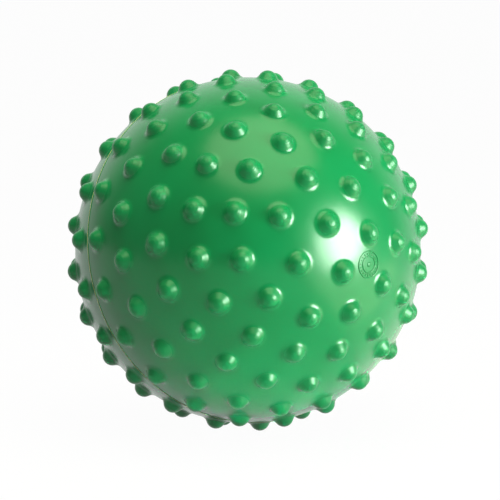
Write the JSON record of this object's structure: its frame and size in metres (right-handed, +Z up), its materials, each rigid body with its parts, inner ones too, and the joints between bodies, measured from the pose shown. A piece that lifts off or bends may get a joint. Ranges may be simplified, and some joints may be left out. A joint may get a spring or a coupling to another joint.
{
  "type": "sensory ball",
  "caption": "Soft inflatable play ball with rings of round nubs all over its skin, a moulded parting line and a push-in air plug.",
  "frame": {"origin": "centre of the ball", "axes": "+Z up with the ball at rest on three nubs; -Y faces the viewer of the picture; the valve is on the far side, a little below the middle"},
  "size_m": [0.1976, 0.1984, 0.1979],
  "materials": {
    "skin": "glossy soft PVC, green",
    "bush": "satin soft PVC, darker green",
    "plug": "satin plastic, green"
  },
  "bodies": {
    "ball": {"ball_skin": "skin", "valve_insert": "bush"},
    "plug": {"valve_plug": "plug"}
  },
  "joints": [
    {"name": "plug_pull", "type": "slide", "parent": "ball", "child": "plug", "axis": [-0.4368, 0.8573, -0.2725], "range_m": [0, 0.018]}
  ]
}
